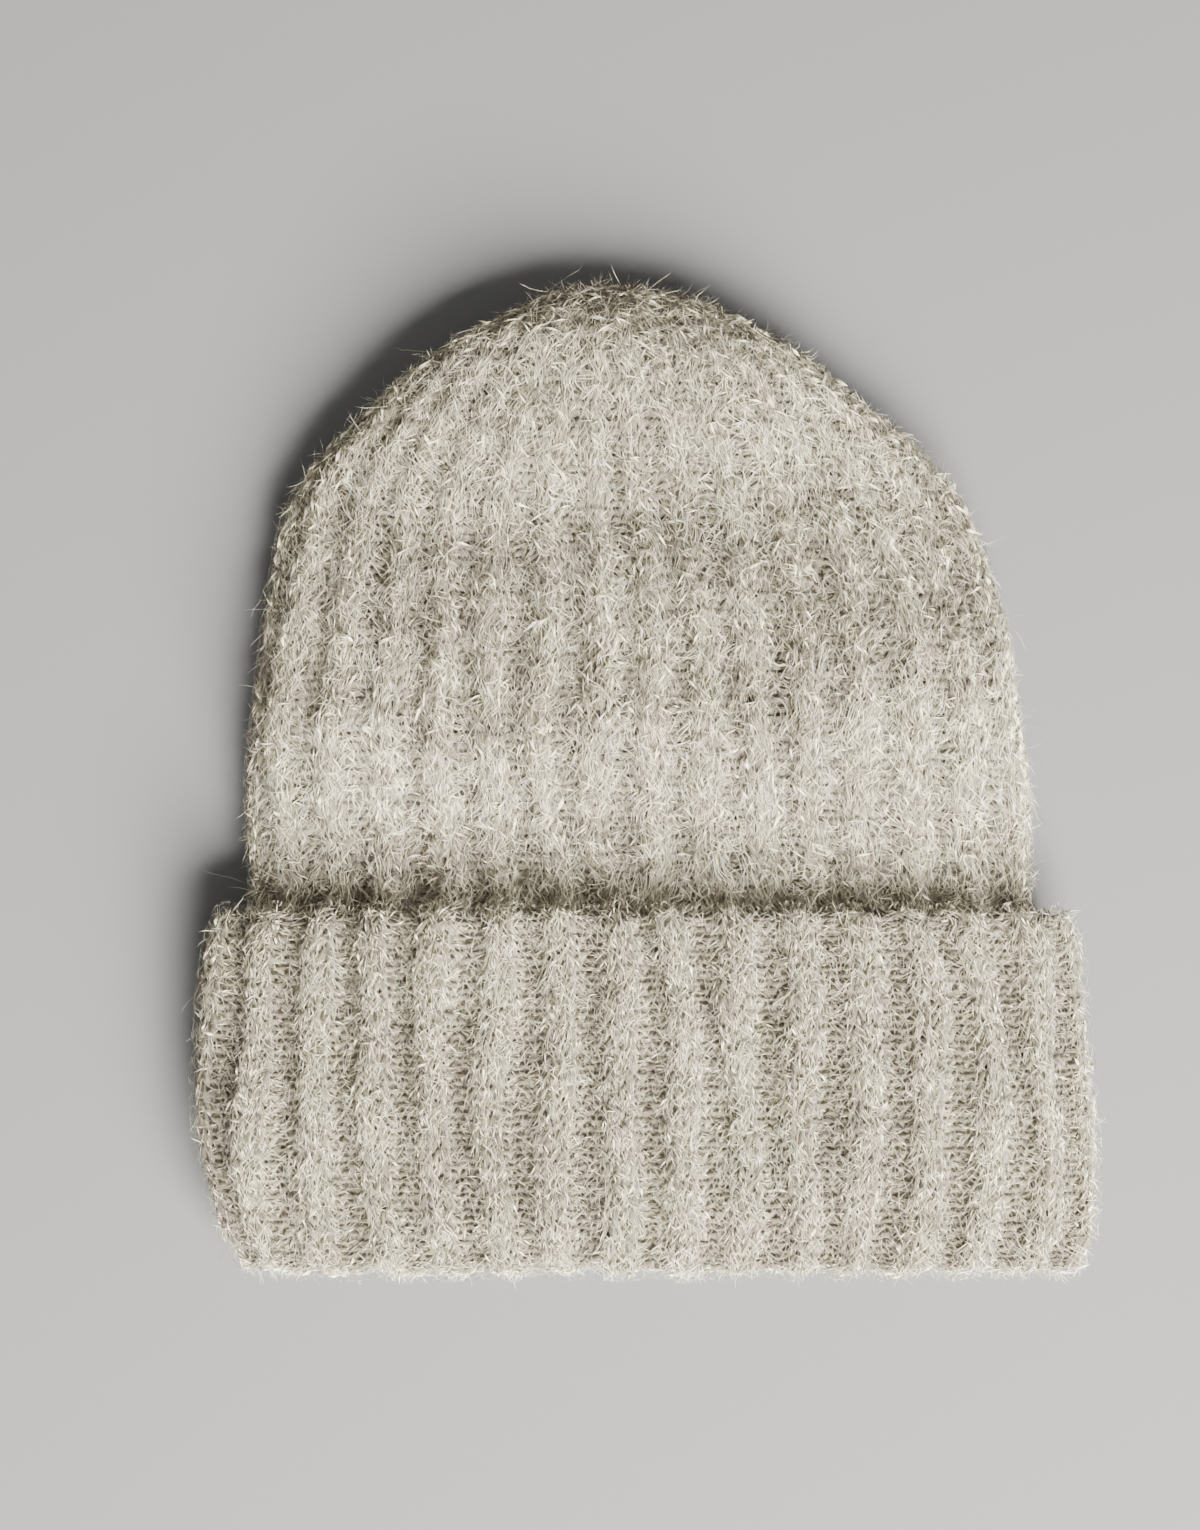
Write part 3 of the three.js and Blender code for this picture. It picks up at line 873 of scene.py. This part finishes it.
def melange_group():
    """Undyed wool in mixed tones: broad clouds, tufts, and single fibres, in Object coordinates."""
    maker = GroupMaker("wool_melange", {"Color": ["Deep", "Pale"], "Float": ["Tone"]}, {"Color": ["Color"]})
    place = maker.place()
    tone = maker.given["Tone"]
    for fineness, detail, share in MELANGE_LAYERS:
        tone = maker.math("MULTIPLY_ADD", maker.spots(place, fineness, detail), share, tone)
    drift = maker.ranged(maker.noise(place, TINT_FINENESS)["Fac"], *TINT_RANGE)
    tint = maker.mixed(drift, ROSY_TINT, STRAW_TINT)
    wool = maker.mixed(tone, maker.given["Deep"], maker.given["Pale"])
    return maker.finish(Color=maker.mixed(1.0, wool, tint, blend_type="MULTIPLY"))


def stroke_group():
    """One layer of hairs drawn on the fabric: a bent stroke, thinner to its ends, in each stretched cell."""
    maker = GroupMaker("hair_strokes", {
        "Vector": ["Place"],
        "Float": ["Turn", "Spacing", "Length", "Width"],
    }, {"Float": ["Mask", "Shade"]})
    given = maker.given
    turn = {"Vector": given["Place"], "Angle": given["Turn"]}
    turned = maker.node("ShaderNodeVectorRotate", turn, rotation_type="Z_AXIS").outputs[0]
    cell_size = maker.vector(given["Spacing"], given["Length"], 1.0)
    in_cells = maker.vector_math("DIVIDE", turned, cell_size)
    cells = maker.node("ShaderNodeTexVoronoi", {
        "Vector": in_cells,
        "Scale": 1.0,
        "Randomness": 1.0,
    }, voronoi_dimensions="2D", feature="F1").outputs
    from_middle = maker.vector_math("SUBTRACT", in_cells, cells["Position"])
    across, along, _ = maker.parts(maker.vector_math("MULTIPLY", from_middle, cell_size))
    tilt, bend, shade = maker.parts(cells["Color"])
    tilt = maker.product(maker.math("SUBTRACT", tilt, 0.5), STROKE_TILT)
    bend = maker.product(maker.math("SUBTRACT", bend, 0.5), STROKE_BEND)
    share = maker.math("DIVIDE", along, given["Length"])
    slope = maker.math("MULTIPLY_ADD", share, bend, tilt)
    beside = maker.math("ABSOLUTE", maker.math("MULTIPLY_ADD", along, slope, across))
    taper = maker.math("MULTIPLY_ADD", maker.product(share, share), -4.0, 1.0)
    inside = maker.math("MULTIPLY_ADD", given["Width"], taper, maker.product(beside, -2.0))
    soft = maker.math("DIVIDE", inside, maker.product(given["Width"], STROKE_SOFTNESS), clamped=True)
    return maker.finish(Mask=soft, Shade=shade)


def tangle_group(strokes):
    """Layers of hairs that cross each other at a range of angles and swirl over the fabric."""
    maker = GroupMaker("tangled_hair", {
        "Float": ["Scatter", "Swirl", "Spacing", "Length", "Width"],
    }, {"Float": ["Mask", "Shade"]})
    given = maker.given
    cloth = maker.attribute("cloth")["Vector"]
    swirls = maker.vector_math("SUBTRACT", maker.noise(cloth, VEIL_SWIRL_FINENESS)["Color"], (0.5, 0.5, 0.5))
    place = maker.vector_math("ADD", cloth, maker.scaled(swirls, given["Swirl"]))
    mask, shade = 0.0, 0.0
    for layer, turn in enumerate(STROKE_TURNS):
        drawn = maker.node("ShaderNodeGroup", {
            "Place": maker.vector_math("ADD", place, layer * LAYER_STEP),
            "Turn": maker.product(given["Scatter"], turn),
            **{title: given[title] for title in ("Spacing", "Length", "Width")},
        }, node_tree=strokes).outputs
        blended = {0: drawn["Mask"], 2: shade, 3: drawn["Shade"]}
        shade = maker.node("ShaderNodeMix", blended, data_type="FLOAT").outputs[0]
        mask = maker.math("MAXIMUM", mask, drawn["Mask"])
    return maker.finish(Mask=mask, Shade=shade)


def ridge_group():
    """A number from 0 in a furrow to 1 on a ridge, from the map that runs round the fabric."""
    maker = GroupMaker("ridge_and_furrow", {"Float": ["Ribs"]}, {"Float": ["Ridge"]})
    share = maker.parts(maker.attribute("OFBake")["Vector"])[0]
    return maker.finish(Ridge=maker.ripple("COSINE", maker.product(share, maker.given["Ribs"])))


def matt_material(name, roughness=0.85, gloss=0.25):
    """A new material, the maker of its nodes, and its shader's inputs."""
    material = bpy.data.materials.new(name)
    material.use_nodes = True
    shader = material.node_tree.nodes["Principled BSDF"].inputs
    shader["Roughness"].default_value = roughness
    shader["Specular IOR Level"].default_value = gloss
    return material, ShaderMaker(material.node_tree), shader


def melange_wool(name, melange, deep, pale):
    """A woollen material in mixed tones, the maker of its nodes, its shader's inputs and its tone's input."""
    material, maker, shader = matt_material(name)
    shader["Sheen Weight"].default_value = 0.35
    shader["Sheen Roughness"].default_value = 0.4
    tones = maker.node("ShaderNodeGroup", {"Deep": deep, "Pale": pale}, node_tree=melange)
    maker.link(tones.outputs["Color"], shader["Base Color"])
    return material, maker, shader, tones.inputs["Tone"]


def yarn_finish(melange, ridges):
    """The yarn of the loops: streaked along each strand, with painted shade in the gaps and furrows and
    painted light on the ridges.
    """
    material, maker, shader, toned = melange_wool("wool_yarn", melange, YARN_DEEP, YARN_PALE)
    on_strand = maker.vector(
        maker.product(maker.attribute("strand_round")["Fac"], STREAKS_ROUND),
        maker.product(maker.attribute("strand_along")["Fac"], STREAKS_ALONG),
    )
    apart = maker.vector_math("MULTIPLY_ADD", maker.place(), STREAKS_APART, on_strand)
    streaks = maker.noise(apart, 1.0)["Fac"]
    # painted shade: the deeper the yarn lies in the fabric, the darker it is
    tone = maker.ranged(maker.attribute("depth")["Fac"], *DEPTH_SHADE_RANGE)
    tone = maker.math("MULTIPLY_ADD", maker.math("SUBTRACT", streaks, 0.5), STREAK_TONES, tone)
    # painted light on the ridges and painted shade in the furrows
    ridge = maker.node("ShaderNodeGroup", {"Ribs": RIBS}, node_tree=ridges).outputs["Ridge"]
    on_ridge = maker.math("MULTIPLY_ADD", ridge, YARN_RIDGE_LIGHT_AND_SHADE, -YARN_RIDGE_LIGHT_AND_SHADE / 2)
    maker.link(maker.math("ADD", tone, on_ridge), toned)
    maker.link(maker.relief(streaks, 0.9, 0.4 * MM), shader["Normal"])
    return material


def fabric_finish(melange):
    """The fabric under the loops and inside the mouth: the same wool, with its stitches in slanting legs."""
    material, maker, shader, toned = melange_wool("wool_under_the_loops", melange, FABRIC_DEEP, FABRIC_PALE)
    round_fabric, along_fabric, _ = maker.parts(maker.attribute("cloth")["Vector"])
    in_column = maker.math("FRACT", maker.math("DIVIDE", round_fabric, STITCH_WIDTH))
    from_middle = maker.math("ABSOLUTE", maker.math("SUBTRACT", in_column, 0.5))
    in_rows = maker.math("ADD", maker.math("DIVIDE", along_fabric, STITCH_HEIGHT), from_middle)
    leg = maker.ripple("SINE", in_rows)
    maker.link(maker.math("MULTIPLY_ADD", leg, *STITCH_TONES), toned)
    maker.link(maker.relief(leg, 1.0, 1.2 * MM), shader["Normal"])
    return material


def hair_finish(melange):
    """The brushed hairs, each with a tone of its own, with painted light on the ridges and painted shade in
    the furrows.
    """
    material, maker, _, toned = melange_wool("brushed_wool_hair", melange, HAIR_DEEP, HAIR_PALE)
    maker.link(maker.attribute("shade")["Fac"], toned)
    return material


def veil_finish(name, tangle, ridges, solidity, in_furrows, values):
    """The finest hairs, drawn on a veil that is clear between them.

    in_furrows is the share of them that shows between the ridges, which are hairier; the fewer pale hairs
    there also paint shade into the furrows. values are for the tangled hair.
    """
    material, maker, shader = matt_material(name)
    hair = maker.node("ShaderNodeGroup", values, node_tree=tangle).outputs
    clouds = maker.spots(maker.place(), CLOUD_FINENESS)
    tone = maker.math("MULTIPLY_ADD", clouds, CLOUD_TONES, hair["Shade"])
    maker.link(maker.mixed(tone, VEIL_DEEP, HAIR_PALE), shader["Base Color"])
    tufts = maker.noise(maker.attribute("cloth")["Vector"], VEIL_TUFT_FINENESS, 0.0)["Fac"]
    fullness = maker.ranged(tufts, *VEIL_TUFT_RANGE)
    solid = maker.math("MULTIPLY_ADD", hair["Shade"], (1 - FAINTEST) * solidity, FAINTEST * solidity)
    ridge = maker.node("ShaderNodeGroup", {"Ribs": RIBS}, node_tree=ridges).outputs["Ridge"]
    # fewer hairs in the furrows: partly hairier ridges, partly painted shade in the furrows
    on_ridge = maker.math("MULTIPLY_ADD", ridge, 1 - in_furrows, in_furrows)
    seen = maker.product(hair["Mask"], maker.product(solid, on_ridge))
    maker.link(maker.product(seen, fullness), shader["Alpha"])
    return material


def floor_material():
    material, _, shader = matt_material("studio_floor", 0.9, 0.5)
    shader["Base Color"].default_value = FLOOR_GREY
    return material


melange = melange_group()
tangle = tangle_group(stroke_group())
ridges = ridge_group()
fabric_wool = fabric_finish(melange)
yarn_wool = yarn_finish(melange, ridges)
hair_wool = hair_finish(melange)
veils = {
    "crown": veil_finish("crown_hair_veil", tangle, ridges, 0.95, 0.85, {
        "Scatter": 0.55,
        "Swirl": 14 * MM,
        "Spacing": 0.85 * MM,
        "Length": 9 * MM,
        "Width": 0.22 * MM,
    }),
    "cuff": veil_finish("cuff_hair_veil", tangle, ridges, 0.9, 0.7, {
        "Scatter": 0.7,
        "Swirl": 6 * MM,
        "Spacing": 1.5 * MM,
        "Length": 6 * MM,
        "Width": 0.22 * MM,
    }),
}

# The fabric, the loops on it and the hair on them
cuff_grid = laying_grid("cuff_grid", spaced(cuff_path, GRID_SPACING), CUFF_RIB_SHIFT, True, CUFF_RELIEF)
crown_grid = laying_grid("crown_grid", spaced(crown_seen, GRID_SPACING), CROWN_RIB_SHIFT, False, CROWN_RELIEF)
pieces = {"crown": [crown_fabric(), crown_veil()], "cuff": [cuff_fabric(), cuff_veil()]}
for part, (fabric, veil) in pieces.items():
    fabric.data.materials.append(fabric_wool)
    veil.data.materials.append(veils[part])

loops = loops_tree()
LOOP_VALUES = {
    "Ribs round": RIBS,
    "Yarn radius": YARN_RADIUS * MM,
    "Yarn sides": 3,
    "Leg steps": 3,
    "Arc steps": 3,
    "Unevenness": 1.5 * MM,
    "Material": yarn_wool,
}
LOOP_SIZES = {
    "crown": {"Rows": 39, "Rib width": 12.6 * MM, "Row height": 4.2 * MM},
    "cuff": {"Rows": 28, "Rib width": 15.0 * MM, "Row height": 3.7 * MM},
}

# First rib and number of ribs, counted from the middle of the top, and the share of the hair that grows there
SIDES = {"front": (-8, 16, 1.0), "back": (8, 15, 0.5)}
FIRST_SEED = 20

hairs = hair_tree()
short = sliver()
bent = long_hair("bent_hair", 2)
bowed = long_hair("bowed_hair", 3)
long = long_hair("long_hair", 9)
HAIR_VALUES = {
    "Share on the floor side": 0.2,
    "Share at the sides": 1.0,
    "Share on top": 1.0,
    "Arch": 0.0,
    "Least lift": 0.0,
    "Root height": -0.1 * MM,
    "Lowest level": 0.2 * MM,
    "Cells a side": 230,
    "Material": hair_wool,
}
# how much paler the hairs are painted on a ridge and darker in a furrow: painted light and shade
HAIR_RIDGE_LIGHT_AND_SHADE = {"crown": 0.25, "cuff": 0.5}
FINE_WIDTH = 0.09  # of the hairs at the sides, in millimetres

# What each kind of hair has apart from that
HAIR_KINDS = {
    "laid_hair": {"Hair": bent, "Share at the sides": 0.6, "Most lift": 0.12, "Curl": 2.2 * MM, "Swirl": 0.7},
    "fine_hair": {"Hair": short, "Arch": 0.22, "Most lift": 0.2, "Curl": 1.5 * MM, "Swirl": 3.0},
    "bowed_hair": {"Hair": bowed, "Most lift": 0.3, "Curl": 5.0 * MM, "Swirl": 4.0},
    "halo_hair": {
        "Hair": bowed,
        "Share on top": 0.0,
        "Least lift": 0.15,
        "Most lift": 0.8,
        "Curl": 7.0 * MM,
        "Swirl": 3.0,
    },
    "stray_hair": {"Hair": long, "Most lift": 0.34, "Curl": 6.0 * MM, "Swirl": 0.0},
}

# Hairs to the square metre, shortest, longest and width in millimetres, scatter, and seed
HAIR_LAYERS = {
    "crown": {
        "laid_hair": (215e3, 3.5, 7.5, 0.15, 0.40, 3),
        "fine_hair": (335e3, 3.5, 7.0, 0.10, 0.45, 5),
        "bowed_hair": (122e3, 6.0, 11.0, 0.09, 0.50, 9),
        "halo_hair": (200e3, 3.0, 7.5, 0.11, 0.9, 11),
        "stray_hair": (3600, 7.0, 20.0, 0.06, 1.2, 27),
    },
    "cuff": {
        "laid_hair": (390e3, 3.0, 5.4, 0.24, 0.2, 4),
        "fine_hair": (370e3, 2.4, 4.8, 0.11, 0.50, 6),
        "bowed_hair": (50e3, 4.0, 7.0, 0.12, 0.80, 10),
        "halo_hair": (200e3, 2.5, 6.0, 0.11, 0.9, 12),
        "stray_hair": (3500, 6.0, 14.0, 0.06, 1.2, 8),
    },
}
for part, grid in (("crown", crown_grid), ("cuff", cuff_grid)):
    for side, (first, count, share) in SIDES.items():
        values = {
            **LOOP_VALUES,
            **LOOP_SIZES[part],
            "First rib": first,
            "Ribs": count,
            "Seed": first + FIRST_SEED,
        }
        knitted = laid_on(grid, loops, f"{part}_loops_{side}", values)
        pieces[part].append(knitted)
        for layer, (density, shortest, longest, width, scatter, seed) in HAIR_LAYERS[part].items():
            values = {
                **HAIR_VALUES,
                **HAIR_KINDS[layer],
                "Painted ridge light and furrow shade": HAIR_RIDGE_LIGHT_AND_SHADE[part],
                "Hairs per square metre": density * share,
                "Shortest": shortest * MM,
                "Longest": longest * MM,
                "Width": width * MM,
                "Width at the sides": min(width, FINE_WIDTH) * MM,
                "Scatter": scatter,
                "Seed": seed + first,
            }
            pieces[part].append(laid_on(knitted, hairs, f"{part}_{layer}_{side}", values))

# What only the making needed
SPARE = {"outward", "grain", "along", "cell", "leaf", "reach", "ridge", "id", "knit"}
for made in pieces.values():
    for piece in made:
        attributes = piece.data.attributes
        for title in [attribute.name for attribute in attributes if attribute.name in SPARE]:
            attributes.remove(attributes[title])
for used in (cuff_grid, crown_grid, short, bent, bowed, long):
    bpy.data.objects.remove(used)

# The floor, the light and the camera
FLOOR_REACH = 1.5
floor_mesh = bpy.data.meshes.new("floor")
floor_corners = [(FLOOR_REACH * x, FLOOR_REACH * y, 0) for x, y in ((-1, -1), (1, -1), (1, 1), (-1, 1))]
floor_mesh.from_pydata(floor_corners, [], [(0, 1, 2, 3)])
floor_mesh.materials.append(floor_material())
floor = bpy.data.objects.new("floor", floor_mesh)
bpy.context.scene.collection.objects.link(floor)

world = bpy.data.worlds.new("studio")
bpy.context.scene.world = world
world.use_nodes = True
world.node_tree.nodes["Background"].inputs["Color"].default_value = (1.0, 0.985, 0.955, 1)
world.node_tree.nodes["Background"].inputs["Strength"].default_value = 0.38


CAP_MIDDLE = Vector((0, 0, 0.012))


def aim(made, target):
    """Turns a lamp or camera towards its target and adds it to the scene."""
    made.rotation_euler = (target - made.location).to_track_quat("-Z", "Y").to_euler()
    bpy.context.scene.collection.objects.link(made)


lamp = bpy.data.lights.new("studio_lamp", "AREA")
lamp.shape = "SQUARE"
lamp.size = 1.1
lamp.energy = 236.0
lamp.color = (1.0, 0.972, 0.915)
studio_lamp = bpy.data.objects.new("studio_lamp", lamp)
studio_lamp.location = (0.62, -1.18, 0.98)
aim(studio_lamp, CAP_MIDDLE)

SEEN_WIDTH = 0.2995  # metres of floor across the picture
DISTANCE = 0.65
ELEVATION = math.radians(86)
SENSOR = 36.0
SEEN_MIDDLE = Vector((-0.0116, 0.0024, 0.014))
camera_data = bpy.data.cameras.new("camera")
camera_data.sensor_fit = "HORIZONTAL"
camera_data.sensor_width = SENSOR
camera_data.lens = SENSOR * DISTANCE / SEEN_WIDTH
camera = bpy.data.objects.new("camera", camera_data)
camera.location = SEEN_MIDDLE + DISTANCE * Vector((0, -math.cos(ELEVATION), math.sin(ELEVATION)))
aim(camera, SEEN_MIDDLE)
bpy.context.scene.camera = camera

# What each piece is to the part
for part, made in pieces.items():
    for piece in made:
        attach(piece, "root")
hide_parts("crown")
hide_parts("cuff")
